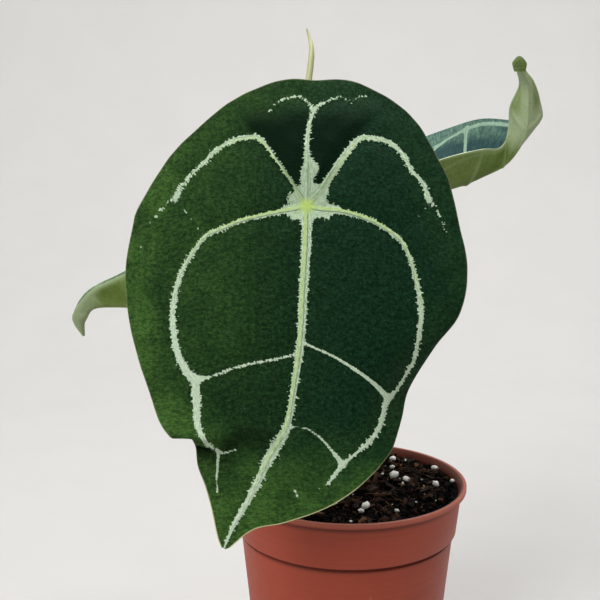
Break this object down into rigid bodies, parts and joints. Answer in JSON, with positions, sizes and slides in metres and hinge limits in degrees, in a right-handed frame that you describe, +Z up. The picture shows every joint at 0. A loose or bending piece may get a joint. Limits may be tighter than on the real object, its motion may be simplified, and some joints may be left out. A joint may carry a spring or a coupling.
{
  "type": "potted anthurium forgetii",
  "caption": "Potted aroid house plant: a large shield-shaped dark leaf with a pale vein web, smaller curled leaves and a furled new leaf on thin stalks, in a round tapered nursery pot.",
  "frame": {"origin": "centre of the pot's underside, on the surface it stands on", "axes": "+Z up out of the pot, -Y the way the big leaf faces, +X to the right as seen from there"},
  "size_m": [0.1809, 0.1254, 0.2483],
  "materials": {
    "terracotta_plastic": "satin moulded plastic",
    "potting_mix": "moist crumb with pale grains",
    "stem": "matte",
    "dry_bract": "dry and papery",
    "stalk": "satin",
    "dark_leaf": "velvety with silver veins",
    "pale_leaf": "satin",
    "young_leaf": "satin"
  },
  "bodies": {
    "root": {"pot": "terracotta_plastic", "potting_mix": "potting_mix", "stem_with_roots": "stem", "cataphyll_front": "dry_bract", "cataphyll_back": "dry_bract", "petiole_main": "stalk", "petiole_right": "stalk", "petiole_left": "stalk", "petiole_young": "stalk", "blade_main": "dark_leaf", "blade_right": "pale_leaf", "blade_left": "pale_leaf", "blade_young": "young_leaf"}
  },
  "joints": []
}
